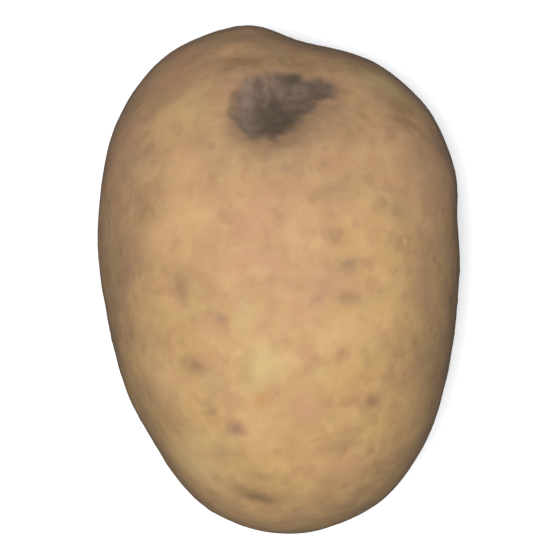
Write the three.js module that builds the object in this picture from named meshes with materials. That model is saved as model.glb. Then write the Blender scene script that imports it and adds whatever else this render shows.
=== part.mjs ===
// An oval, pale-skinned potato, lying on the flattest part of its belly.
// Millimetres, +Z up. The long axis runs along Y and the stem end, with its scar, points to +Y.
// The origin is under the middle of the tuber, on the surface that it lies on.

import * as THREE from "three";
import { mergeVertices } from "three/addons/utils/BufferGeometryUtils.js";

// Driving dimensions

const LENGTH = 92;
const WIDTH = 65.5;
const CROWN = 31.5; // height of the upper side above the rim, the widest line round the tuber
const BELLY = 26.5; // depth of the lower side below the rim
const BLOCKINESS = 0.85; // 1 gives round sections, less gives squarer shoulders
const STEM_END_DROOP = 6; // how far the rim sinks at the stem end
const BUD_END_LIFT = 1.5; // how far it rises at the other end, where most buds are
const REST_DEPTH = 0.5; // how much the belly is flattened where it lies

const CELLS = 30; // cells along each edge of the cube that the skin is wrapped from
const AIM_STEPS = 30; // corrections made to find the place of an eye
const MIN_UP = 0.02; // keeps each eye off the rim itself

// The rim seen from above, from the crest of the stem end clockwise

const RIM = [
  [-5.9, 46.6],
  [4.1, 43.5],
  [11.7, 41.8], // shallow saddle beside the crest
  [19.6, 38.3],
  [27.8, 29.5], // full shoulder
  [31.8, 19.5],
  [31.7, 10.9], // nearly straight side
  [32.3, 2.7],
  [31.3, -13.5],
  [27.5, -27.4],
  [17.3, -40.4],
  [1.5, -45.1], // bud end
  [-13.6, -40],
  [-23.8, -26.7],
  [-30.2, -10.8],
  [-32.4, 8.1],
  [-30.2, 27.1],
  [-20.5, 40.6],
];

// Broad swellings and hollows: degrees round from +X, degrees up from the rim, spread in degrees, height

const SWELLINGS = [
  { round: 262, up: 48, spread: 34, height: 0.9 },
  { round: 82, up: 52, spread: 20, height: -0.9 },
  { round: 35, up: 24, spread: 20, height: 0.7 },
  { round: 178, up: 30, spread: 24, height: -0.6 },
  { round: 318, up: 18, spread: 18, height: -0.5 },
  { round: 140, up: -34, spread: 24, height: -0.9 },
  { round: 22, up: -36, spread: 26, height: 0.8 },
  { round: 296, up: -46, spread: 22, height: -0.7 },
  { round: 76, up: -18, spread: 20, height: 0.7 },
  { round: 214, up: -26, spread: 20, height: 0.6 },
];

// Eyes, placed by their x and y seen from above; side is 1 on the upper side and -1 on the lower.
// Each is a hollow with a raised brow on the side of the stem end, turned by tilt degrees.

const EYES = [
  { x: -3.7, y: -37.8, side: 1, width: 8.5, depth: 0.8, tilt: -14 },
  { x: -7, y: 40.4, side: 1, width: 12, depth: 0.8, tilt: 6 },
  { x: 22.5, y: 29, side: 1, width: 7.5, depth: 0.45, tilt: -30 },
  { x: 9.5, y: -41.5, side: -1, width: 7.5, depth: 0.9, tilt: 12 },
  { x: -10.5, y: -35, side: -1, width: 8.5, depth: 1.0, tilt: -10 },
  { x: 19.5, y: -21, side: -1, width: 9, depth: 1.1, tilt: 15 },
  { x: -22.5, y: -10, side: -1, width: 9, depth: 1.0, tilt: -12 },
  { x: 4, y: -19, side: -1, width: 8, depth: 0.8, tilt: 4 },
  { x: 23.5, y: 8, side: -1, width: 9.5, depth: 1.1, tilt: 10 },
  { x: -17, y: 19.5, side: -1, width: 9, depth: 0.9, tilt: -8 },
  { x: 10, y: 30.5, side: -1, width: 9, depth: 0.8, tilt: 6 },
];

// The parts of an eye, as shares of its width, and the brow's height as a share of its depth

const HOLLOW = { across: 0.42, along: 0.24, drop: 0.1 };
const BROW = { across: 0.5, along: 0.13, rise: 0.2, bend: 0.9, height: 0.55 };

// The scar where the stolon grew: an oval pit, a shallow furrow running off it and the dried stub inside

const SCAR = { x: -1.9, y: 29.9, side: 1 };
const PIT = { across: 6.4, along: 7.2, depth: 2.3, steepness: 3 };
const PIT_LIP = { reach: 1.35, spread: 0.25, height: 0.35 };
const FURROW = { x: 8.2, y: 2.9, across: 5.2, along: 2.4, depth: 0.8 };
const STUB = { x: 0.6, y: -0.6, radius: 2.2, height: 0.8, steepness: 4 };

// A gentle unevenness all over, from three waves that share no direction

const WAVES = [
  { way: [0.21, 0.13, 0.05], start: 0.4, height: 0.14 },
  { way: [-0.11, 0.24, 0.14], start: 2.1, height: 0.12 },
  { way: [0.09, -0.17, 0.29], start: 4.0, height: 0.1 },
];

// The plain oval and the true rim, as radii about the middle, at an angle round the tuber

const rimCurve = new THREE.CatmullRomCurve3(
  RIM.map(([x, y]) => new THREE.Vector3(x, y, 0)),
  true,
  "centripetal",
);
const RIM_STEPS = 720;
const rimRadii = rimCurve
  .getPoints(RIM_STEPS)
  .slice(0, RIM_STEPS)
  .map((p) => ({ angle: Math.atan2(p.y, p.x), radius: Math.hypot(p.x, p.y) }))
  .sort((a, b) => a.angle - b.angle);

function rimRadius(angle) {
  const last = rimRadii.length - 1;
  let i = rimRadii.findIndex((p) => p.angle >= angle);
  if (i < 0) i = 0;
  const before = rimRadii[i === 0 ? last : i - 1];
  const after = rimRadii[i];
  const turn = 2 * Math.PI;
  const step = THREE.MathUtils.euclideanModulo(after.angle - before.angle, turn);
  const part = THREE.MathUtils.euclideanModulo(angle - before.angle, turn);
  return THREE.MathUtils.lerp(before.radius, after.radius, part / step);
}

function ovalRadius(angle) {
  return 1 / Math.hypot(Math.cos(angle) / (WIDTH / 2), Math.sin(angle) / (LENGTH / 2));
}

function direction(round, up) {
  const r = THREE.MathUtils.degToRad(round);
  const u = THREE.MathUtils.degToRad(up);
  return new THREE.Vector3(Math.cos(u) * Math.cos(r), Math.cos(u) * Math.sin(r), Math.sin(u));
}

function swelling(dir) {
  let height = 0;
  for (const s of SWELLINGS) {
    const away = dir.angleTo(direction(s.round, s.up)) / THREE.MathUtils.degToRad(s.spread);
    height += s.height * Math.exp(-away * away);
  }
  return height;
}

function unevenness(p) {
  let height = 0;
  for (const wave of WAVES) {
    height += wave.height * Math.sin(p.dot(new THREE.Vector3(...wave.way)) + wave.start);
  }
  return height;
}

// The tuber without eyes or scar, at a direction from its middle

function bodyPoint(dir) {
  const round = Math.atan2(dir.y, dir.x);
  const out = Math.hypot(dir.x, dir.y); // 1 on the rim, 0 on top and underneath
  const oval = ovalRadius(round);
  const radius = oval + (rimRadius(round) - oval) * out * out;
  const reach = radius * out ** BLOCKINESS;
  const p = new THREE.Vector3(Math.cos(round) * reach, Math.sin(round) * reach, 0);
  const along = p.y / (LENGTH / 2);
  const bend = along > 0 ? -STEM_END_DROOP : BUD_END_LIFT;
  const half = dir.z > 0 ? CROWN : BELLY;
  p.z = Math.sign(dir.z) * half * Math.abs(dir.z) ** BLOCKINESS + bend * along * along;
  return p.addScaledVector(outward(p), swelling(dir) + unevenness(p));
}

function outward(p) {
  const half = p.z > 0 ? CROWN : BELLY;
  return new THREE.Vector3(
    p.x / (WIDTH / 2) ** 2,
    p.y / (LENGTH / 2) ** 2,
    p.z / half ** 2,
  ).normalize();
}

// The point of the skin straight over or under x and y: the aim is corrected until it meets them

function pointOver(x, y, side) {
  const aim = new THREE.Vector2(x / (WIDTH / 2), y / (LENGTH / 2));
  let point;
  for (let i = 0; i < AIM_STEPS; i++) {
    const up = side * Math.sqrt(Math.max(MIN_UP, 1 - aim.lengthSq()));
    point = bodyPoint(new THREE.Vector3(aim.x, aim.y, up).normalize());
    aim.x += (x - point.x) / WIDTH;
    aim.y += (y - point.y) / LENGTH;
  }
  return point;
}

// A place on the skin, with axes along it: u runs across the tuber and v towards the stem end

function placeOnSkin({ x, y, side, tilt = 0 }) {
  const centre = pointOver(x, y, side);
  const normal = outward(centre);
  const u = new THREE.Vector3(0, 1, 0).cross(normal).normalize();
  u.applyAxisAngle(normal, THREE.MathUtils.degToRad(tilt));
  const v = normal.clone().cross(u);
  return { centre, normal, u, v };
}

const bell = (a, b = 0) => Math.exp(-a * a - b * b);

function eyeRelief(eye, u, v) {
  const x = u / eye.width;
  const y = v / eye.width;
  const hollow = bell(x / HOLLOW.across, (y + HOLLOW.drop) / HOLLOW.along);
  const arch = BROW.rise - BROW.bend * x * x;
  const brow = bell(x / BROW.across, (y - arch) / BROW.along);
  return eye.depth * (BROW.height * brow - hollow);
}

function scarRelief(u, v) {
  const away = Math.hypot(u / PIT.across, v / PIT.along);
  const pit = -PIT.depth * Math.exp(-(away ** PIT.steepness));
  const lip = PIT_LIP.height * bell((away - PIT_LIP.reach) / PIT_LIP.spread);
  const furrow = -FURROW.depth * bell((u - FURROW.x) / FURROW.across, (v - FURROW.y) / FURROW.along);
  const stubAway = Math.hypot(u - STUB.x, v - STUB.y) / STUB.radius;
  const stub = STUB.height * Math.exp(-(stubAway ** STUB.steepness));
  return pit + lip + furrow + stub;
}

const marks = EYES.map((eye) => ({
  ...placeOnSkin(eye),
  relief: (u, v) => eyeRelief(eye, u, v),
}));
marks.push({ ...placeOnSkin(SCAR), relief: scarRelief });

const MARK_REACH = 20; // no eye or scar changes the skin further than this from its middle

function addMarks(p) {
  let height = 0;
  for (const mark of marks) {
    const q = p.clone().sub(mark.centre);
    if (q.length() > MARK_REACH) continue;
    height += mark.relief(q.dot(mark.u), q.dot(mark.v));
  }
  return p.addScaledVector(outward(p), height);
}

// The skin is wrapped from a cube, its cells spaced to be even in angle

function cubeToSphere(geometry) {
  const position = geometry.getAttribute("position");
  const dir = new THREE.Vector3();
  for (let i = 0; i < position.count; i++) {
    dir.fromBufferAttribute(position, i);
    dir.set(...dir.toArray().map((c) => Math.tan((c * Math.PI) / 4))).normalize();
    position.setXYZ(i, dir.x, dir.y, dir.z);
  }
}

function tuberGeometry() {
  const cube = new THREE.BoxGeometry(2, 2, 2, CELLS, CELLS, CELLS);
  cube.deleteAttribute("normal");
  cube.deleteAttribute("uv");
  const geometry = mergeVertices(cube, 1e-4);
  cubeToSphere(geometry);

  const position = geometry.getAttribute("position");
  const dir = new THREE.Vector3();
  for (let i = 0; i < position.count; i++) {
    dir.fromBufferAttribute(position, i);
    position.setXYZ(i, ...addMarks(bodyPoint(dir)).toArray());
  }

  // Stand the middle of the tuber over the origin and flatten the belly where it lies
  geometry.computeBoundingBox();
  const middle = geometry.boundingBox.getCenter(new THREE.Vector3());
  geometry.translate(-middle.x, -middle.y, -geometry.boundingBox.min.z - REST_DEPTH);
  for (let i = 0; i < position.count; i++) position.setZ(i, Math.max(0, position.getZ(i)));
  geometry.computeVertexNormals();
  return geometry;
}

function tuber() {
  const skin = new THREE.MeshStandardMaterial({ color: 0xb08a5e, roughness: 0.6, metalness: 0 });
  const mesh = new THREE.Mesh(tuberGeometry(), skin);
  mesh.name = "tuber";
  return mesh;
}

const potato = new THREE.Group();
potato.add(tuber());

export default potato;
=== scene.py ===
"""An oval, pale-skinned potato lying on a pale floor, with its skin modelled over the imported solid."""

import math

import bpy
import numpy as np
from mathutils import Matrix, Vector, noise


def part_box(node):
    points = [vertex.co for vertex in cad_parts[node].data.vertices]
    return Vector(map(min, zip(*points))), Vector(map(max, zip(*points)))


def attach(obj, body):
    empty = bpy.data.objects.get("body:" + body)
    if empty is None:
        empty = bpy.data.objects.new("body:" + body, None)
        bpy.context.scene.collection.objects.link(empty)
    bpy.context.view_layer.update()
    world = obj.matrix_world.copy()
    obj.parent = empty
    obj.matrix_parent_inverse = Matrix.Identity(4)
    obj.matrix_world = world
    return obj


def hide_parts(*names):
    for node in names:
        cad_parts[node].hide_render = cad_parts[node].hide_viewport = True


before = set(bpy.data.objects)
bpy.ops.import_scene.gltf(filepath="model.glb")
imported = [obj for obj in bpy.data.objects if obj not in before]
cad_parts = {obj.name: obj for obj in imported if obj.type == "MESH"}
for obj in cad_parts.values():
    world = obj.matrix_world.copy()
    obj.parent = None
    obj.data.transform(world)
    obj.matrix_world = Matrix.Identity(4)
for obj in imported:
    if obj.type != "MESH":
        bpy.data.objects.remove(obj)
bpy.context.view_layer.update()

bl_info = {
    "name": "Potato",
    "version": (1, 0, 0),
    "blender": (4, 5, 0),
    "location": "View3D > Sidebar > Potato",
    "description": "Models the skin of a potato over its solid, with its scar, eyes, spots and lenticels",
    "category": "Mesh",
}

MM = 0.001
LOW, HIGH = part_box("tuber")

# The picture: a square frame, seen from straight above with the stem end at the top

PICTURE = 560  # pixels along each side
PICTURE_WIDTH = 101.6 * MM  # what the frame spans at the height of the rim
RIM_HEIGHT = 25.5 * MM
MIDDLE_PIXEL = (278.5, 276.8)  # where the middle of the potato shows

# Unevenness all over the skin: name, size and height

UNEVENNESS = (
    ("dimples", 9 * MM, 0.35 * MM),
    ("uneven", 2.2 * MM, 0.07 * MM),
)
MERGE_WITHIN = 0.02 * MM  # corners of the solid's triangles that are one
JOIN_UP_TO = math.radians(60)  # how far two triangles may turn or skew and still join as a quad

# The stem scar, in millimetres. SCAR is its middle, by x and y. Its parts are set off from there as
# (across, along, half width, half length), with along towards the stem end, and cores and scales
# have a strength as well. Lumps of noise are (size, strength, offset)

SCAR = (-1.9, 29.9)
SCAR_REACH = 7  # how far round its middle the skin is averaged for the way it faces
SCAR_DEPTH = 9  # how far above and below its middle it has faded to about a third
SCAR_BLOTS = (
    (-0.3, -1.5, 5.7, 6.8),
    (1.9, 1.9, 6.2, 4.2),
    (4.8, 0.0, 3.7, 3.5),
    (7.6, 2.1, 4.5, 2.6),
)
# The cores are dark cork with the shade of the scar's hollows painted in, most of all on the pit's lower
# wall
SCAR_CORES = (
    (1.2, -4.0, 4.0, 3.0, 1.1),
    (4.4, 4.7, 1.5, 1.0, 1.35),
    (3.8, -0.2, 3.0, 2.2, 0.2),
    (8.6, 1.6, 3.0, 1.2, 0.4),
)
SCAR_SCALES = (
    (-3.5, -0.8, 1.3, 3.2, 0.95),
    (-3.4, -4.8, 2.4, 2.6, 0.85),
    (-3.4, 2.4, 0.9, 2.0, 0.6),
    (-0.1, 2.2, 0.6, 2.0, 0.45),
    (2.1, 1.7, 0.7, 1.8, 0.28),
    (5.6, 2.9, 1.2, 0.8, 0.2),
)
BLOT_SQUARENESS = 2.2  # 2 is an oval
BLOT_SHARPNESS = 8  # how sharply it ends
BLOT_LUMPS = ((3.4, 0.08, 0), (1.4, 0.1, 7))
# The crease is painted as dark as the cores, as shade on the pit's lower wall
SCAR_CREASE = (-0.6, -1.6, 5.6, 6.2)  # the oval whose lower left a brown crease follows
CREASE_WIDTH = 0.09  # against the oval's half width
CREASE_FADE = 1.2  # how fast it ends towards the upper right
CREASE_STRENGTH = 0.3
CRUST_LUMPS = ((2.6, 1, 2), (1.2, 0.4, 5))
CRUST_HEIGHT = 0.5
CRUST_LEVEL = 0.3  # lumps lower than this lie below the skin
RIM_LUMPS = ((1.6, 1, 9),)
RIM_LIFT = 0.12
CORE_DEPTH = 0.3

# Eyes as (x, y, side, width, tilt in degrees, strength of the stain, which is shade painted into the eye's
# hollow and crease), in millimetres, with side 1 above and -1 below

EYES = (
    (-3.8, -36.9, 1, 9, -20, 1.0),
    (-7, 40.4, 1, 12, 6, 0.2),
    (22.5, 29, 1, 7.5, -30, 0.45),
    (9.5, -41.5, -1, 7.5, 12, 0.8),
    (-10.5, -35, -1, 8.5, -10, 0.8),
    (19.5, -21, -1, 9, 15, 0.75),
    (-22.5, -10, -1, 9, -12, 0.8),
    (4, -19, -1, 8, 4, 0.7),
    (23.5, 8, -1, 9.5, 10, 0.8),
    (-17, 19.5, -1, 9, -8, 0.7),
    (10, 30.5, -1, 9, 6, 0.75),
)
EYE_RELIEF = {1: 0.0, -1: 0.25}  # on each side, how deep the crease is and how high a bud may stand
EYE_REACH = 4  # how far round its middle the skin is averaged for the way it faces
EYE_DEPTH = 5  # how far above and below its middle it has faded to about a third

# An eye's parts, as shares of its width where nothing else is said. The crease follows an arch

ARCH_RISE = 0.2
ARCH_BEND = 0.9
EYE_CREASE_HALF = 0.42
EYE_CREASE_DROP = 0.11
EYE_CREASE_THICKNESS = 0.8  # in millimetres
# the painted shade along the crease, against that in the hollow
EYE_CREASE_SHADE = 0.3  # against the hollow's
EYE_BUDS = ((-0.12, 0.55), (0.02, 0.8), (0.17, 0.5))  # (way across, size in millimetres)
EYE_BUD_DROP = 0.02
EYE_BUD_HEIGHT = 1.6  # for a bud of 1 mm, against the crease's depth
EYE_HOLLOW_HALF = 0.46
EYE_HOLLOW_DROP = 0.03
EYE_HOLLOW_THICKNESS = 0.18

# Marks on the upper side, from the stem end down. Each kind's marks are (the pixel where it shows,
# across and down, its width and length in millimetres, its turn in degrees, its strength and the
# depth of its dent in millimetres)

SEEN_MARKS = {
    "blemish": (
        (280, 217, 2.4, 2.2, 0, 0.3, 0.08),
        (336, 236, 3.5, 3.0, 0, 0.52, 0.1),
        (180, 291, 2.8, 4.6, 0, 0.45, 0.1),
        (352, 298, 4.2, 2.8, 10, 0.47, 0.08),
        (317, 299, 2.8, 1.8, 40, 0.42, 0.05),
        (222, 318, 2.8, 2.0, -35, 0.62, 0.08),
        (344, 354, 2.8, 2.4, 0, 0.45, 0.08),
        (194, 365, 3.2, 3.4, 0, 0.6, 0.1),
        (373, 402, 3.4, 2.8, 8, 0.68, 0.1),
        (237, 430, 4.0, 3.1, -28, 0.7, 0.1),
        (267, 480, 2.4, 1.6, 0, 0.3, 0.08),
        (299, 510, 3.0, 1.8, 0, 0.35, 0.08),
    ),
    "bruise": (
        # Greyish mauve patches, some of them painted shade: the broad ones down the right side, the halo
        # under the scar and the patch under the spot at (237, 430)
        (249, 51, 7.0, 4.0, 0, 0.3, 0.0),
        (228, 82, 5.0, 5.0, 0, 0.4, 0.0),
        (181, 86, 11.0, 6.0, 25, 0.26, 0.0),
        (312, 116, 13.0, 12.0, 0, 0.55, 0.0),
        # painted shade: the halo under the scar
        (302, 138, 12.0, 6.0, 0, 0.46, 0.0),
        (206, 141, 6.0, 6.0, 0, 0.36, 0.0),
        (232, 144, 9.0, 7.0, 0, 0.35, 0.0),
        (147, 145, 3.0, 3.4, 0, 0.25, 0.05),
        (271, 155, 16.0, 6.4, 0, 0.42, 0.0),
        (137, 158, 10.0, 9.0, 0, 0.3, 0.0),
        (223, 164, 4.6, 6.4, 0, 0.34, 0.0),
        (284, 166, 3.2, 2.2, -50, 0.62, 0.0),
        (280, 167, 26.0, 7.0, 0, 0.2, 0.0),
        # painted shade down the right side
        (424, 170, 8.0, 10.0, 0, 0.3, 0.0),
        (332, 190, 5.0, 5.0, 0, 0.3, 0.0),
        (397, 211, 3.0, 3.0, 0, 0.3, 0.0),
        (349, 265, 3.4, 2.9, 0, 0.62, 0.1),
        (127, 267, 8.0, 9.0, 0, 0.45, 0.0),
        (328, 283, 8.0, 7.0, 0, 0.2, 0.0),
        (180, 286, 3.2, 4.0, 0, 0.35, 0.0),
        # painted shade down the right side
        (427, 290, 9.0, 20.0, 0, 0.34, 0.0),
        (130, 333, 2.4, 2.4, 0, 0.5, 0.1),
        # painted shade down the right side
        (426, 362, 10.0, 14.0, 0, 0.32, 0.0),
        (211, 384, 6.0, 6.0, 0, 0.25, 0.0),
        (154, 397, 3.6, 7.0, 25, 0.35, 0.0),
        (223, 434, 3.0, 2.6, 0, 0.18, 0.0),
        # painted shadow under the spot at (237, 430)
        (225, 450, 4.0, 3.4, 0, 0.32, 0.0),
    ),
    "greening": (
        (386, 84, 14.0, 8.0, -35, 0.45, 0.0),
        (192, 108, 11.0, 6.0, 0, 0.25, 0.0),
        (244, 318, 3.6, 7.0, 0, 0.35, 0.0),
        (266, 352, 4.2, 3.4, 0, 0.4, 0.0),
        (262, 366, 5.6, 7.2, -15, 0.7, 0.0),
        (197, 442, 7.0, 4.0, -15, 0.6, 0.0),
        (190, 464, 9.0, 7.0, -40, 0.5, 0.0),
        (206, 472, 6.0, 4.0, -30, 0.45, 0.0),
    ),
    "rust": (
        (231, 59, 3.2, 2.0, 0, 0.5, 0.0),
        (367, 377, 3.0, 2.4, 0, 0.35, 0.0),
        (262, 400, 3.0, 2.4, 30, 0.8, 0.05),
        (290, 439, 2.2, 1.8, 0, 0.3, 0.0),
    ),
    "russet": (
        (276, 64, 17.0, 5.0, 0, 0.75, 0.0),
        (161, 104, 6.0, 3.0, 35, 0.45, 0.0),
        (402, 110, 6.0, 4.4, -30, 0.75, 0.0),
        (291, 141, 8.0, 2.6, 8, 0.55, 0.1),
        (136, 198, 4.0, 3.0, 0, 0.45, 0.0),
        (144, 216, 6.0, 3.0, 10, 0.5, 0.0),
        (402, 352, 8.0, 7.0, 0, 0.3, 0.0),
        (209, 411, 2.4, 2.6, 0, 0.7, 0.05),
        (339, 447, 6.4, 2.6, 10, 0.45, 0.0),
        (375, 470, 6.0, 4.0, 10, 0.42, 0.05),
        (329, 482, 4.5, 2.5, 0, 0.45, 0.0),
        (364, 489, 6.0, 3.0, 15, 0.36, 0.0),
        (245, 489, 4.0, 1.8, -15, 0.55, 0.0),
        (235, 506, 7.0, 3.4, -15, 0.25, 0.0),
    ),
    "rose": (
        (285, 45, 8.0, 4.0, -20, 0.5, 0.0),
        (178, 80, 13.0, 7.0, 25, 0.6, 0.0),
        (231, 94, 5.0, 7.0, 0, 0.9, 0.0),
        (190, 152, 4.0, 4.0, 0, 0.5, 0.0),
        (262, 214, 9.0, 11.0, 0, 0.55, 0.0),
        (244, 262, 10.0, 7.0, 0, 0.55, 0.0),
        (334, 286, 9.0, 6.0, 0, 0.8, 0.0),
        (300, 307, 10.0, 8.0, 0, 0.6, 0.0),
        (267, 324, 3.4, 5.0, 0, 0.6, 0.0),
        (212, 328, 4.0, 3.0, 0, 0.6, 0.0),
        (409, 373, 5.0, 4.0, 0, 0.5, 0.0),
        (262, 381, 1.8, 1.8, 0, 0.6, 0.0),
        (305, 409, 6.4, 4.4, 0, 0.8, 0.0),
        (346, 467, 10.0, 7.0, 15, 0.5, 0.0),
    ),
    "pale": (
        (184, 164, 7.0, 6.0, 0, 0.9, 0.0),
        (184, 212, 8.0, 7.0, 0, 0.9, 0.0),
        (304, 212, 9.0, 6.0, 0, 0.6, 0.0),
        (160, 236, 7.0, 6.0, 0, 0.7, 0.0),
        (352, 332, 9.0, 6.0, 0, 0.7, 0.0),
        (162, 380, 8.0, 8.0, 0, 0.9, 0.0),
        (256, 428, 7.0, 7.0, 0, 0.7, 0.0),
        (192, 468, 15.0, 9.0, -40, 0.9, 0.0),
    ),
}
DENT_RIM_AT = 1.25  # where the low rim of a dent runs, in half widths of the mark
DENT_RIM_WIDTH = 0.35
DENT_RIM_HEIGHT = 0.25  # against the dent's depth

# Marks scattered over the side that the picture doesn't show, with sizes in millimetres

HIDDEN_MARKS = 70
HIDDEN_SEED = 11
HIDDEN_SHARES = {  # how often each kind is drawn
    "blemish": 0.34,
    "bruise": 0.2,
    "greening": 0.06,
    "rust": 0.1,
    "russet": 0.2,
    "rose": 0.1,
    "pale": 0.0,
}
SMALL_KINDS = ("blemish", "rust")
SMALL_SIZES = (1.5, 3.2)
BROAD_SIZES = (3, 8)
HIDDEN_SLIMNESS = (0.6, 1.0)  # length against width
HIDDEN_STRENGTHS = (0.3, 0.8)
HIDDEN_DENT = 0.25  # depth of a blemish's dent at full strength

# Soil and painted shade on whatever faces sideways or down, which darken the skin there

DUST_AND_SHADE_FROM = 0.9  # it starts where the skin faces up less than this, with 1 for level
DUST_AND_SHADE_RANGE = 0.5
DUST_AND_SHADE = 0.28  # how much of the skin's colour it hides
DUST_AND_SHADE_PATCHES = ((7, 0.15, 3),)

# Lenticels, with sizes in millimetres

LENTICEL_SEED = 4
LENTICEL_SIZES = (0.6, 1.35)  # against the common one
LENTICEL_LIFTS = (-0.06, 0.05, 0.07)
LENTICEL_STRENGTHS = (0.12, 0.5)
MOAT_AT = 1.3  # where the shallow moat round a pore runs, in radii of the pore
MOAT_WIDTH = 0.4
MOAT_DEPTH = 0.4  # against the pore's own lift

# The skin's colour and finest relief. Patches of noise are (size in millimetres, where the noise
# starts to show, where it is full, and its detail where that isn't 1)

STEM_CAST_FROM = 28 * MM  # the stem end's cast is full past here
BUD_CAST_FROM = -25 * MM  # the bud end's cast is full past here
NOISE_SWING = 4.0  # noise keeps within about a quarter of its middle, so this fills -1 to 1
NET_CELL = 1.1 * MM
NET_LINE = 0.16  # half the width of a line, against a cell's
NET_BEND = 1.2 * MM  # how far the lines wander
NET_PATCHES = (7, 0.42, 0.6)  # where they show
NET_SHARE = 0.1
FLECK_SPACING = 2.6 * MM
FLECK_RADIUS = 0.16  # against the spacing
FLECK_SHARE = 0.3
FLAKES = (1.3, 0.42, 0.66, 2.0)  # the paler flakes in the scar's crust
FLAKE_SHARE = 0.27
MATT_PATCHES = (3, 0.35, 0.7)
MATT_SWING = 0.1  # how much rougher the skin is in them
MATT_CORK = 0.25  # how much rougher it is on the scar
SHEEN = 0.2
BUMP_HEIGHT = 0.25 * MM
BUMP_STRENGTH = 0.35
GRAIN_SIZE = 0.7 * MM
GRAIN_HEIGHT = 0.5  # against the bump's height, as are the next two
NET_DEPTH = 0.1
FLECK_HEIGHT = 0.4


# Small helpers


def only(thing):
    """Leaves one object selected and active."""
    bpy.ops.object.select_all(action="DESELECT")
    thing.select_set(True)
    bpy.context.view_layer.objects.active = thing


def read_skin(skin):
    """Where the skin's vertices are, in millimetres, and which way each faces."""
    count = len(skin.data.vertices)
    places = np.empty(count * 3, np.float32)
    facing = np.empty(count * 3, np.float32)
    skin.data.vertices.foreach_get("co", places)
    skin.data.vertices.foreach_get("normal", facing)
    return places.reshape(-1, 3) / MM, facing.reshape(-1, 3)


def raise_skin(skin, height):
    """Moves each vertex outwards by its height in millimetres, but not into the floor."""
    places, facing = read_skin(skin)
    moved = (places + facing * height[:, None]) * MM
    moved[:, 2] = np.maximum(moved[:, 2], 0)
    skin.data.vertices.foreach_set("co", moved.astype(np.float32).ravel())
    skin.data.update()


def keep_mask(skin, name, values):
    """Stores one value for each vertex, which the skin's material reads by name."""
    layer = skin.data.attributes.get(name)
    if layer is None:
        layer = skin.data.attributes.new(name, "FLOAT", "POINT")
    layer.data.foreach_set("value", np.clip(values, 0, 1).astype(np.float32))


def camera_height():
    """How high the camera stands above the floor."""
    stage = bpy.context.scene.potato_stage
    return RIM_HEIGHT + PICTURE_WIDTH * stage.lens / stage.sensor


def camera_place():
    """The camera's place, such that the potato's middle shows at its pixel."""
    middle = (LOW + HIGH) / 2
    pixel = PICTURE_WIDTH / PICTURE
    x = middle.x + (PICTURE / 2 - MIDDLE_PIXEL[0]) * pixel
    y = middle.y - (PICTURE / 2 - MIDDLE_PIXEL[1]) * pixel
    return Vector((x, y, camera_height()))


def seen_at(skin, pixel):
    """The place on the skin that shows at a pixel of the picture, in millimetres."""
    start = camera_place()
    stage = bpy.context.scene.potato_stage
    half = PICTURE / 2
    slope = stage.sensor / 2 / stage.lens
    way = Vector(((pixel[0] - half) / half * slope, (half - pixel[1]) / half * slope, -1)).normalized()
    hit, place, _, _ = skin.ray_cast(start, way)
    if not hit:
        raise RuntimeError(f"nothing of the potato shows at pixel {pixel}")
    return np.array(place) / MM


def straight_at(skin, x, y, side):
    """The place on the skin above or below a point of the floor, in millimetres."""
    far = 2 * HIGH.z
    start = Vector((x * MM, y * MM, far if side > 0 else -far))
    hit, place, _, _ = skin.ray_cast(start, Vector((0, 0, -side)))
    if not hit:
        raise RuntimeError(f"nothing of the potato is at {x}, {y}")
    return np.array(place) / MM


def skin_axes(places, facing, place, turn=0.0, reach=2.5):
    """Each vertex's way across, along towards the stem end, and out from a place on the skin."""
    near = np.linalg.norm(places - place, axis=1) < reach
    out = facing[near].mean(axis=0)
    out /= np.linalg.norm(out)
    across = np.cross((0.0, 1.0, 0.0), out)
    across /= np.linalg.norm(across)
    along = np.cross(out, across)
    turned = math.radians(turn)
    across, along = (
        across * math.cos(turned) + along * math.sin(turned),
        along * math.cos(turned) - across * math.sin(turned),
    )
    away = places - place
    return away @ across, away @ along, away @ out


def bell(*parts):
    """1 in the middle, falling smoothly to 0 as the parts grow past 1."""
    return np.exp(-sum(np.square(part) for part in parts))


def rough(places, size, offset=0.0):
    """Smooth noise from -1 to 1 over the skin, with lumps about as wide as size in millimetres."""
    shift = Vector((offset, -offset, offset))
    return np.array([noise.noise(Vector(p) / size + shift) for p in places.tolist()])


def lumpy(places, lumps, bend=np.positive):
    """The sum of several layers of lumps, each bent and then given its strength."""
    return sum(strength * bend(rough(places, size, offset)) for size, strength, offset in lumps)


def add_node(tree, kind, inputs=None, **settings):
    """Adds a node, with a value or another node's socket for each input named."""
    made = tree.nodes.new(kind)
    for name, value in settings.items():
        setattr(made, name, value)
    for name, value in (inputs or {}).items():
        if isinstance(value, bpy.types.NodeSocket):
            tree.links.new(value, made.inputs[name])
        else:
            made.inputs[name].default_value = value
    return made


def calculate(tree, operation, first, second, clamp=False):
    """A Math node's result."""
    return add_node(
        tree, "ShaderNodeMath", {0: first, 1: second}, operation=operation, use_clamp=clamp
    ).outputs[0]


def blend_colours(tree, amount, first, second, way="MIX"):
    """A Mix node's colour: first at 0 and second at 1."""
    return add_node(
        tree,
        "ShaderNodeMix",
        {0: amount, 6: first, 7: second},
        data_type="RGBA",
        blend_type=way,
    ).outputs[2]


def spread(tree, value, low, high):
    """Spreads low to high over 0 to 1, with soft ends."""
    return add_node(
        tree,
        "ShaderNodeMapRange",
        {"Value": value, "From Min": low, "From Max": high},
        interpolation_type="SMOOTHSTEP",
    ).outputs[0]


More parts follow.
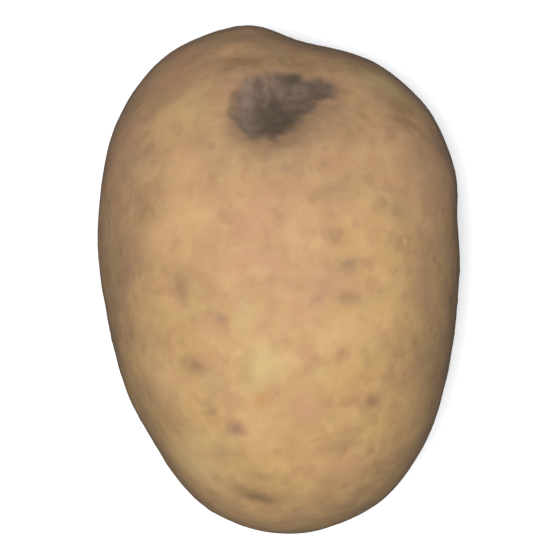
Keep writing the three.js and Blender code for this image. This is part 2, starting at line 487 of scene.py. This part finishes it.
def start_group(name, inputs, outputs):
    """A new shader group with its named sockets, and the nodes that hold them."""
    group = bpy.data.node_groups.new(name, "ShaderNodeTree")
    for socket, kind, value in inputs:
        made = group.interface.new_socket(socket, in_out="INPUT", socket_type=f"NodeSocket{kind}")
        if value is not None:
            made.default_value = value
    for socket, kind in outputs:
        group.interface.new_socket(socket, in_out="OUTPUT", socket_type=f"NodeSocket{kind}")
    taken = group.nodes.new("NodeGroupInput").outputs
    given = group.nodes.new("NodeGroupOutput").inputs
    return group, taken, given


# Shader groups


def patches_group():
    """Soft patches of noise, about as wide as Size."""
    group, taken, given = start_group(
        "soft_patches",
        (
            ("Vector", "Vector", None),
            ("Size", "Float", 0.01),
            ("Detail", "Float", 3.0),
            ("Low", "Float", 0.4),
            ("High", "Float", 0.6),
        ),
        (("Mask", "Float"),),
    )
    scale = calculate(group, "DIVIDE", 1.0, taken["Size"])
    cloud = add_node(
        group,
        "ShaderNodeTexNoise",
        {
            "Vector": taken["Vector"],
            "Scale": scale,
            "Detail": taken["Detail"],
        },
    )
    mask = spread(group, cloud.outputs["Fac"], taken["Low"], taken["High"])
    group.links.new(mask, given["Mask"])
    return group


def ragged_group():
    """Breaks up the edge of a mask with noise, as a stain or a scab has it."""
    group, taken, given = start_group(
        "ragged_mask",
        (
            ("Vector", "Vector", None),
            ("Mask", "Float", 0.0),
            ("Size", "Float", 0.001),
            ("Raggedness", "Float", 0.5),
        ),
        (("Mask", "Float"),),
    )
    scale = calculate(group, "DIVIDE", 1.0, taken["Size"])
    cloud = add_node(
        group,
        "ShaderNodeTexNoise",
        {"Vector": taken["Vector"], "Scale": scale, "Detail": 2.0},
    )
    swing = calculate(group, "SUBTRACT", cloud.outputs["Fac"], 0.5)
    swing = calculate(group, "MULTIPLY", swing, taken["Raggedness"])
    swing = calculate(group, "MULTIPLY", swing, NOISE_SWING)
    factor = calculate(group, "ADD", 1.0, swing)
    mask = calculate(group, "MULTIPLY", taken["Mask"], factor, clamp=True)
    group.links.new(mask, given["Mask"])
    return group


def net_group():
    """Thin wandering lines, as in the fine net of the skin's cork."""
    group, taken, given = start_group(
        "fine_net",
        (
            ("Vector", "Vector", None),
            ("Cell", "Float", 0.0015),
            ("Line", "Float", 0.12),
        ),
        (("Lines", "Float"),),
    )
    scale = calculate(group, "DIVIDE", 1.0, taken["Cell"])
    cloud = add_node(
        group,
        "ShaderNodeTexNoise",
        {"Vector": taken["Vector"], "Scale": scale, "Detail": 2.0},
    )
    bent = add_node(
        group,
        "ShaderNodeMix",
        {0: NET_BEND, 4: taken["Vector"], 5: cloud.outputs["Color"]},
        data_type="VECTOR",
    ).outputs[1]
    cells = add_node(
        group,
        "ShaderNodeTexVoronoi",
        {"Vector": bent, "Scale": scale},
        feature="DISTANCE_TO_EDGE",
    )
    near = spread(group, cells.outputs["Distance"], 0.0, taken["Line"])
    lines = calculate(group, "SUBTRACT", 1.0, near)
    group.links.new(lines, given["Lines"])
    return group


def flecks_group():
    """Small round flecks of many sizes, about Spacing apart."""
    group, taken, given = start_group(
        "flecks",
        (
            ("Vector", "Vector", None),
            ("Spacing", "Float", 0.003),
            ("Radius", "Float", 0.2),
        ),
        (("Mask", "Float"),),
    )
    scale = calculate(group, "DIVIDE", 1.0, taken["Spacing"])
    cells = add_node(
        group, "ShaderNodeTexVoronoi", {"Vector": taken["Vector"], "Scale": scale}
    )
    away = spread(group, cells.outputs["Distance"], 0.0, taken["Radius"])
    mask = calculate(group, "SUBTRACT", 1.0, away)
    group.links.new(mask, given["Mask"])
    return group


def mask_of(tree, name):
    """The value that the skin's vertices hold under a name."""
    return add_node(
        tree, "ShaderNodeAttribute", attribute_name=name, attribute_type="GEOMETRY"
    ).outputs["Fac"]


def skin_material(props):
    """The potato's skin: mottled tan and gold, with its stains, spots, cork and soil, and shade painted
    into its scar, eyes and sides.
    """
    material = bpy.data.materials.new("potato_skin")
    material.use_nodes = True
    tree = material.node_tree
    shader = tree.nodes["Principled BSDF"]
    place = add_node(tree, "ShaderNodeTexCoord").outputs["Object"]
    patches, ragged, net, flecks = patches_group(), ragged_group(), net_group(), flecks_group()

    def over_skin(group, **inputs):
        inputs["Vector"] = place
        return add_node(tree, "ShaderNodeGroup", inputs, node_tree=group).outputs[0]

    def patch(size, low, high, detail=1.0):
        return over_skin(patches, Size=size * MM, Detail=detail, Low=low, High=high)

    # lays a mask's tint over the colour, for real stains and for painted shade alike
    def stain_and_shade(name, size, raggedness):
        return over_skin(ragged, Mask=mask_of(tree, name), Size=size * MM, Raggedness=raggedness)

    def part_of(mask, share):
        return calculate(tree, "MULTIPLY", mask, share, clamp=True)

    # Mottling: size in millimetres, where the noise starts and fills, share and tint
    colour = props.tan
    for size, low, high, share, tint in (
        (22, 0.4, 0.62, 1, props.gold),
        (7, 0.42, 0.68, 0.6, props.rose),
        (4, 0.45, 0.7, 0.7, props.pale),
        (9, 0.5, 0.72, 0.4, props.olive),
        (3.2, 0.48, 0.7, 0.6, props.brown),
        (1.4, 0.45, 0.8, 0.12, props.russet),
    ):
        colour = blend_colours(tree, part_of(patch(size, low, high), share), colour, tint)

    # The net of cork lines, which shows in patches, and flecks of cork
    lines = over_skin(net, Cell=NET_CELL, Line=NET_LINE)
    lines = calculate(tree, "MULTIPLY", lines, patch(*NET_PATCHES))
    colour = blend_colours(tree, part_of(lines, NET_SHARE), colour, props.russet)
    dots = over_skin(flecks, Spacing=FLECK_SPACING, Radius=FLECK_RADIUS)
    colour = blend_colours(tree, part_of(dots, FLECK_SHARE), colour, props.russet)

    # A slight cast at each end
    stemward = add_node(tree, "ShaderNodeSeparateXYZ", {0: place}).outputs["Y"]
    cast_share = spread(tree, stemward, STEM_CAST_FROM, BUD_CAST_FROM)
    cast = blend_colours(tree, cast_share, props.stem_cast, props.bud_cast)
    colour = blend_colours(tree, 1.0, colour, cast, "MULTIPLY")

    # Stains, and shade painted into the scar, the eyes and the sides, over it: mask, size of its ragged
    # edge in millimetres, raggedness and tint
    flakes = part_of(patch(*FLAKES), FLAKE_SHARE)
    crust = blend_colours(tree, flakes, props.bark, props.scab)
    for name, size, raggedness, tint in (
        # soil and painted shade, darker where the skin faces sideways or down
        ("dust_and_shade", 3.0, 0.2, props.dust_and_shade),
        ("pale", 2.5, 0.35, props.pale),
        ("rose", 2.5, 0.35, props.rose),
        ("greening", 3.0, 0.35, props.greening),
        ("russet", 1.6, 0.5, props.russet),
        # greyish mauve patches, some of them painted shade
        ("bruise", 2.0, 0.4, props.bruise),
        ("rust", 0.9, 0.5, props.rust),
        ("blemish", 1.2, 0.3, props.blemish),
        ("lenticel", 0.5, 0.4, props.russet),
        # the eyes' tint is shade painted into their hollows and creases, in russet
        ("eye", 0.9, 0.4, props.russet),
        ("scar", 2.4, 0.1, crust),
        ("scale", 1.0, 0.45, props.scab),
        # the cores and the crease: dark cork with painted shade of the hollows
        ("core", 1.6, 0.15, props.hollow),
    ):
        colour = blend_colours(tree, stain_and_shade(name, size, raggedness), colour, tint)
    tree.links.new(colour, shader.inputs["Base Color"])

    # Cork is more matt than skin, and the skin's own finish varies a little
    matt = calculate(tree, "MULTIPLY", patch(*MATT_PATCHES), MATT_SWING)
    matt = calculate(tree, "ADD", matt, props.roughness)
    matt = calculate(tree, "ADD", matt, part_of(mask_of(tree, "scar"), MATT_CORK), clamp=True)
    tree.links.new(matt, shader.inputs["Roughness"])
    shader.inputs["Specular IOR Level"].default_value = SHEEN

    # Fine relief: grain, with the lines cut in and the flecks raised
    grain = add_node(
        tree, "ShaderNodeTexNoise", {"Vector": place, "Scale": 1 / GRAIN_SIZE, "Detail": 5.0}
    ).outputs["Fac"]
    height = calculate(tree, "MULTIPLY", grain, GRAIN_HEIGHT)
    height = calculate(tree, "SUBTRACT", height, part_of(lines, NET_DEPTH))
    height = calculate(tree, "ADD", height, part_of(dots, FLECK_HEIGHT))
    bump = add_node(
        tree,
        "ShaderNodeBump",
        {"Height": height, "Strength": BUMP_STRENGTH, "Distance": BUMP_HEIGHT},
    )
    tree.links.new(bump.outputs[0], shader.inputs["Normal"])
    return material


def floor_material(props):
    """A plain matt floor, pale to look at, which throws only a little light back on the potato."""
    material = bpy.data.materials.new("pale_floor")
    material.use_nodes = True
    tree = material.node_tree
    shader = tree.nodes["Principled BSDF"]
    seen = add_node(tree, "ShaderNodeLightPath").outputs["Is Camera Ray"]
    colour = blend_colours(tree, seen, (*props.floor_bounce, 1), (*props.floor, 1))
    tree.links.new(colour, shader.inputs["Base Color"])
    shader.inputs["Roughness"].default_value = 0.9
    shader.inputs["Specular IOR Level"].default_value = 0.1
    return material


# Sizes and colours that a user would change


def colour_property(name, description, default):
    """A colour that a user can pick, opaque."""
    return bpy.props.FloatVectorProperty(
        name=name,
        description=description,
        subtype="COLOR",
        size=4,
        min=0,
        max=1,
        default=(*default, 1),
    )


class PotatoSkinProps(bpy.types.PropertyGroup):
    """The skin's fineness, spots and colours"""

    detail: bpy.props.IntProperty(
        name="Detail", description="How often each face of the solid is halved", default=2, min=1, max=2
    )
    lenticels: bpy.props.IntProperty(
        name="Lenticels", description="How many breathing pores show on the skin", default=240, min=0
    )
    lenticel: bpy.props.FloatProperty(
        name="Lenticel", description="Width of a common pore", default=1.7 * MM, unit="LENGTH"
    )
    roughness: bpy.props.FloatProperty(
        name="Roughness", description="How matt the skin is", default=0.6, subtype="FACTOR"
    )
    tan: colour_property("Tan", "Most of the skin", (0.397, 0.235, 0.114))
    gold: colour_property("Gold", "Broad brighter patches", (0.423, 0.26, 0.114))
    rose: colour_property("Rose", "Pinkish patches", (0.388, 0.21, 0.113))
    pale: colour_property("Pale", "Lighter patches", (0.455, 0.282, 0.134))
    olive: colour_property("Olive", "Yellowish grey patches", (0.335, 0.228, 0.1))
    brown: colour_property("Brown", "Small darker patches", (0.335, 0.19, 0.097))
    stem_cast: colour_property("Stem cast", "Tints the stem end", (0.97, 0.955, 1.0))
    bud_cast: colour_property("Bud cast", "Tints the bud end", (0.985, 1.0, 0.89))
    # soil and painted shade on the steep sides and the belly
    dust_and_shade: colour_property("Dust", "The dry soil on the sides and belly", (0.245, 0.178, 0.126))
    greening: colour_property("Greening", "Where light has turned the skin", (0.43, 0.33, 0.14))
    russet: colour_property("Russet", "Brown cork flecks and patches", (0.235, 0.145, 0.068))
    # also the colour of the shade painted down the right side and under the scar
    bruise: colour_property("Bruise", "Greyish mauve patches", (0.2, 0.133, 0.083))
    rust: colour_property("Rust", "Orange brown spots", (0.36, 0.18, 0.065))
    blemish: colour_property("Blemish", "Dark sunken spots", (0.195, 0.098, 0.067))
    bark: colour_property("Bark", "The scar's dry crust", (0.096, 0.063, 0.046))
    scab: colour_property("Scab", "Its paler scales", (0.2, 0.142, 0.105))
    # the scar's darkest cork with the shade of its hollows painted in
    hollow: colour_property("Hollow", "The scar's dark hollows", (0.068, 0.052, 0.033))


class PotatoStageProps(bpy.types.PropertyGroup):
    """The floor, the lights and the camera"""

    floor: bpy.props.FloatVectorProperty(
        name="Floor", description="Its colour to the camera", subtype="COLOR", default=(0.95, 0.95, 0.95)
    )
    floor_bounce: bpy.props.FloatVectorProperty(
        name="Bounce", description="What it throws back", subtype="COLOR", default=(0.1, 0.11, 0.135)
    )
    floor_width: bpy.props.FloatProperty(
        name="Floor width", description="The floor's width", default=4, unit="LENGTH"
    )
    key: bpy.props.FloatProperty(
        name="Key", description="Power of the main light", default=21.3, unit="POWER"
    )
    key_tilt: bpy.props.FloatProperty(
        name="Tilt", description="How far it leans to the bud end", default=math.radians(2), subtype="ANGLE"
    )
    key_side: bpy.props.FloatProperty(
        name="Side", description="How far it leans to the left", default=math.radians(3.2), subtype="ANGLE"
    )
    key_distance: bpy.props.FloatProperty(
        name="Distance", description="From the floor to the main light", default=1.2, unit="LENGTH"
    )
    key_width: bpy.props.FloatProperty(
        name="Width", description="Width of the main light", default=0.6, unit="LENGTH"
    )
    sky: bpy.props.FloatProperty(
        name="Sky", description="Strength of the even light all round", default=0.085, min=0
    )
    sky_colour: bpy.props.FloatVectorProperty(
        name="Sky colour", description="Its colour", subtype="COLOR", default=(0.88, 0.97, 1.15)
    )
    lens: bpy.props.FloatProperty(
        name="Lens", description="Focal length in millimetres", default=135, subtype="DISTANCE_CAMERA"
    )
    sensor: bpy.props.FloatProperty(
        name="Sensor", description="Its width in millimetres", default=36, subtype="DISTANCE_CAMERA"
    )


# Operators


class POTATO_OT_stage(bpy.types.Operator):
    """Lay the pale floor, hang the soft lights and stand the camera above the potato"""

    bl_idname = "potato.stage"
    bl_label = "Stage"

    def execute(self, context):
        props = context.scene.potato_stage
        bpy.ops.object.select_all(action="DESELECT")
        bpy.ops.mesh.primitive_plane_add(size=props.floor_width, location=(0, 0, 0))
        floor = context.object
        floor.name = "floor"
        floor.data.materials.append(floor_material(props))

        away = Vector((-math.tan(props.key_side), -math.tan(props.key_tilt), 1)).normalized()
        bpy.ops.object.light_add(type="AREA", location=away * props.key_distance)
        key = context.object
        key.name = "key_light"
        key.data.shape = "DISK"
        key.data.size = props.key_width
        key.data.energy = props.key
        key.rotation_euler = away.to_track_quat("Z", "Y").to_euler()

        world = context.scene.world or bpy.data.worlds.new("studio")
        context.scene.world = world
        world.use_nodes = True
        sky = world.node_tree.nodes["Background"]
        sky.inputs["Color"].default_value = (*props.sky_colour, 1)
        sky.inputs["Strength"].default_value = props.sky

        bpy.ops.object.camera_add(location=camera_place(), rotation=(0, 0, 0))
        camera = context.object
        camera.name = "camera"
        camera.data.lens = props.lens
        camera.data.sensor_width = props.sensor
        camera.data.clip_start = 0.01
        camera.data.dof.use_dof = False
        context.scene.camera = camera
        context.scene.view_settings.view_transform = "Standard"
        return {"FINISHED"}


class POTATO_OT_skin(bpy.types.Operator):
    """Copy the solid, join its faces and round them into a fine skin with shallow dimples"""

    bl_idname = "potato.skin"
    bl_label = "Skin"

    def execute(self, context):
        props = context.scene.potato_skin
        skin = bpy.data.objects.new("skin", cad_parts["tuber"].data.copy())
        context.collection.objects.link(skin)
        only(skin)
        skin.data.materials.clear()
        bpy.ops.mesh.customdata_custom_splitnormals_clear()
        bpy.ops.object.mode_set(mode="EDIT")
        bpy.ops.mesh.select_all(action="SELECT")
        bpy.ops.mesh.remove_doubles(threshold=MERGE_WITHIN)
        bpy.ops.mesh.tris_convert_to_quads(face_threshold=JOIN_UP_TO, shape_threshold=JOIN_UP_TO)
        bpy.ops.object.mode_set(mode="OBJECT")
        bpy.ops.object.shade_smooth()
        finer = skin.modifiers.new("finer", "SUBSURF")
        finer.levels = props.detail
        finer.render_levels = props.detail
        bpy.ops.object.modifier_apply(modifier=finer.name)
        self.dimple(skin)
        return {"FINISHED"}

    def dimple(self, skin):
        """Shallow dimples all over, then a finer unevenness."""
        for name, size, height in UNEVENNESS:
            waves = bpy.data.textures.new(name, "CLOUDS")
            waves.noise_scale = size
            waves.noise_depth = 1
            lift = skin.modifiers.new(name, "DISPLACE")
            lift.texture = waves
            lift.texture_coords = "LOCAL"
            lift.strength = height
            lift.mid_level = 0.5
            bpy.ops.object.modifier_apply(modifier=lift.name)


class POTATO_OT_stem_scar(bpy.types.Operator):
    """Model the flaking crust, the ragged rim and the dark hollows of the stem scar, with shade painted
    into the hollows
    """

    bl_idname = "potato.stem_scar"
    bl_label = "Stem scar"

    def execute(self, context):
        skin = bpy.data.objects["skin"]
        places, facing = read_skin(skin)
        middle = straight_at(skin, *SCAR, 1)
        across, along, out = skin_axes(places, facing, middle, reach=SCAR_REACH)
        near = bell(out / SCAR_DEPTH)
        wobble = 1 + lumpy(places, BLOT_LUMPS)
        cork = self.cork(across, along, wobble) * near
        # the cores and the crease are dented, and painted dark as the shade in them
        core = self.blots(across, along, SCAR_CORES) * near
        core = np.maximum(core, self.crease(across, along, wobble) * near)
        scale = self.blots(across, along, SCAR_SCALES) * near
        crust = CRUST_HEIGHT * (lumpy(places, CRUST_LUMPS, np.abs) - CRUST_LEVEL)
        halfway = 4 * cork * (1 - cork)  # 1 halfway down the cork's edge, 0 inside and outside it
        rim = halfway * (1 + lumpy(places, RIM_LUMPS))
        raise_skin(skin, cork * crust + RIM_LIFT * rim - CORE_DEPTH * core)
        keep_mask(skin, "scar", cork)
        keep_mask(skin, "core", core)
        keep_mask(skin, "scale", scale)
        return {"FINISHED"}

    def cork(self, across, along, wobble):
        """How strongly each vertex lies in the dry cork, from 0 to 1, with a wavering edge."""
        mask = np.zeros(len(across))
        for x, y, wide, long in SCAR_BLOTS:
            parts = np.abs((across - x) / wide) ** BLOT_SQUARENESS
            parts += np.abs((along - y) / long) ** BLOT_SQUARENESS
            away = parts ** (1 / BLOT_SQUARENESS) * wobble
            mask = np.maximum(mask, 1 / (1 + np.exp((away - 1) * BLOT_SHARPNESS)))
        return mask

    def crease(self, across, along, wobble):
        """How strongly each vertex lies in the brown crease round the lower left, painted dark as shade on
        the pit's lower wall.
        """
        x, y, wide, long = SCAR_CREASE
        away = np.hypot((across - x) / wide, (along - y) / long) * wobble
        lower_left = 1 / (1 + np.exp(CREASE_FADE * (across - x + along - y)))
        return CREASE_STRENGTH * lower_left * bell((away - 1) / CREASE_WIDTH)

    def blots(self, across, along, blots):
        """How strongly each vertex lies in any of the blots."""
        mask = np.zeros(len(across))
        for x, y, wide, long, strength in blots:
            mask = np.maximum(mask, strength * bell((across - x) / wide, (along - y) / long))
        return mask


class POTATO_OT_eyes(bpy.types.Operator):
    """Paint shade in brown into each eye's hollow and crease, and model the crease and small buds of those
    on the hidden side
    """

    bl_idname = "potato.eyes"
    bl_label = "Eyes"

    def execute(self, context):
        skin = bpy.data.objects["skin"]
        places, facing = read_skin(skin)
        height = np.zeros(len(places))
        mask = np.zeros(len(places))
        for x, y, side, width, tilt, stain_and_shade in EYES:
            place = straight_at(skin, x, y, side)
            across, along, out = skin_axes(places, facing, place, tilt, EYE_REACH)
            near = bell(out / EYE_DEPTH)
            arch = along - (ARCH_RISE * width - ARCH_BEND * across**2 / width)
            crease = near * bell(
                across / (EYE_CREASE_HALF * width),
                (arch + EYE_CREASE_DROP * width) / EYE_CREASE_THICKNESS,
            )
            height -= EYE_RELIEF[side] * crease
            # shade painted along the crease
            mask = np.maximum(mask, EYE_CREASE_SHADE * stain_and_shade * crease)
            for step, size in EYE_BUDS:
                bud = near * bell(
                    (across - step * width) / size,
                    (along + EYE_BUD_DROP * width) / size,
                )
                height += EYE_BUD_HEIGHT * EYE_RELIEF[side] * size * bud
            hollow = near * bell(
                across / (EYE_HOLLOW_HALF * width),
                (along + EYE_HOLLOW_DROP * width) / (EYE_HOLLOW_THICKNESS * width),
            )
            # shade painted over the hollow
            mask = np.maximum(mask, stain_and_shade * hollow)
        raise_skin(skin, height)
        keep_mask(skin, "eye", mask)
        return {"FINISHED"}


class POTATO_OT_marks(bpy.types.Operator):
    """Dent and colour the skin at each of its spots and patches, some of them painted shade, and darken its
    sides and belly with soil and painted shade
    """

    bl_idname = "potato.marks"
    bl_label = "Marks"

    def execute(self, context):
        skin = bpy.data.objects["skin"]
        places, facing = read_skin(skin)
        height = np.zeros(len(places))
        masks = {kind: np.zeros(len(places)) for kind in HIDDEN_SHARES}
        for kind, place, wide, long, turn, strength, dent in self.marks(skin, places):
            across, along, out = skin_axes(places, facing, place, turn)
            near = bell(out / max(wide, long))
            away = np.hypot(across / (wide / 2), along / (long / 2))
            spot = near * bell(away)
            rim = near * bell((away - DENT_RIM_AT) / DENT_RIM_WIDTH)
            masks[kind] = np.maximum(masks[kind], strength * spot)
            height += dent * (DENT_RIM_HEIGHT * rim - spot)
        raise_skin(skin, height)
        for kind, values in masks.items():
            keep_mask(skin, kind, values)
        # soil and painted shade: the skin is darker where it faces sideways or down
        steep = np.clip((DUST_AND_SHADE_FROM - facing[:, 2]) / DUST_AND_SHADE_RANGE, 0, 1)
        keep_mask(skin, "dust_and_shade", steep * (DUST_AND_SHADE + lumpy(places, DUST_AND_SHADE_PATCHES)))
        return {"FINISHED"}

    def marks(self, skin, places):
        """The marks that show in the picture, then those drawn for the other side."""
        for kind, marks in SEEN_MARKS.items():
            for x, y, *sizes in marks:
                yield kind, seen_at(skin, (x, y)), *sizes
        draw = np.random.default_rng(HIDDEN_SEED)
        low = np.flatnonzero(places[:, 2] < RIM_HEIGHT / MM)
        for _ in range(HIDDEN_MARKS):
            kind = draw.choice(tuple(HIDDEN_SHARES), p=tuple(HIDDEN_SHARES.values()))
            size = draw.uniform(*(SMALL_SIZES if kind in SMALL_KINDS else BROAD_SIZES))
            slimness = draw.uniform(*HIDDEN_SLIMNESS)
            turn = draw.uniform(-90, 90)
            strength = draw.uniform(*HIDDEN_STRENGTHS)
            dent = strength * HIDDEN_DENT if kind == "blemish" else 0.0
            place = places[draw.choice(low)]
            yield kind, place, size, size * slimness, turn, strength, dent


class POTATO_OT_lenticels(bpy.types.Operator):
    """Scatter the small corky pores over the skin"""

    bl_idname = "potato.lenticels"
    bl_label = "Lenticels"

    def execute(self, context):
        props = context.scene.potato_skin
        skin = bpy.data.objects["skin"]
        places, _ = read_skin(skin)
        draw = np.random.default_rng(LENTICEL_SEED)
        height = np.zeros(len(places))
        mask = np.zeros(len(places))
        for middle in draw.choice(len(places), props.lenticels, replace=False):
            radius = props.lenticel / MM / 2 * draw.uniform(*LENTICEL_SIZES)
            lift = draw.choice(LENTICEL_LIFTS)
            strength = draw.uniform(*LENTICEL_STRENGTHS)
            away = np.linalg.norm(places - places[middle], axis=1) / radius
            dot = bell(away)
            moat = bell((away - MOAT_AT) / MOAT_WIDTH)
            height += lift * (dot - MOAT_DEPTH * moat)
            mask = np.maximum(mask, strength * dot)
        raise_skin(skin, height)
        keep_mask(skin, "lenticel", mask)
        return {"FINISHED"}


class POTATO_OT_finish(bpy.types.Operator):
    """Colour the skin and lay it over the solid"""

    bl_idname = "potato.finish"
    bl_label = "Finish"

    def execute(self, context):
        skin = bpy.data.objects["skin"]
        skin.data.materials.append(skin_material(context.scene.potato_skin))
        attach(skin, "root")
        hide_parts("tuber")
        return {"FINISHED"}


OPERATORS = (
    POTATO_OT_stage,
    POTATO_OT_skin,
    POTATO_OT_stem_scar,
    POTATO_OT_eyes,
    POTATO_OT_marks,
    POTATO_OT_lenticels,
    POTATO_OT_finish,
)


class POTATO_PT_panel(bpy.types.Panel):
    """Lists the potato's steps, sizes and colours"""

    bl_idname = "POTATO_PT_panel"
    bl_label = "Potato"
    bl_space_type = "VIEW_3D"
    bl_region_type = "UI"
    bl_category = "Potato"

    def draw(self, context):
        for operator in OPERATORS:
            self.layout.operator(operator.bl_idname)
        for props in (context.scene.potato_skin, context.scene.potato_stage):
            column = self.layout.column()
            for name in props.__annotations__:
                column.prop(props, name)


CLASSES = (PotatoSkinProps, PotatoStageProps, *OPERATORS, POTATO_PT_panel)


def register():
    for made in CLASSES:
        bpy.utils.register_class(made)
    bpy.types.Scene.potato_skin = bpy.props.PointerProperty(type=PotatoSkinProps)
    bpy.types.Scene.potato_stage = bpy.props.PointerProperty(type=PotatoStageProps)


def unregister():
    del bpy.types.Scene.potato_stage
    del bpy.types.Scene.potato_skin
    for made in reversed(CLASSES):
        bpy.utils.unregister_class(made)


def main():
    register()
    bpy.ops.potato.stage()
    bpy.ops.potato.skin()
    bpy.ops.potato.stem_scar()
    bpy.ops.potato.eyes()
    bpy.ops.potato.marks()
    bpy.ops.potato.lenticels()
    bpy.ops.potato.finish()


if __name__ == "__main__":
    main()
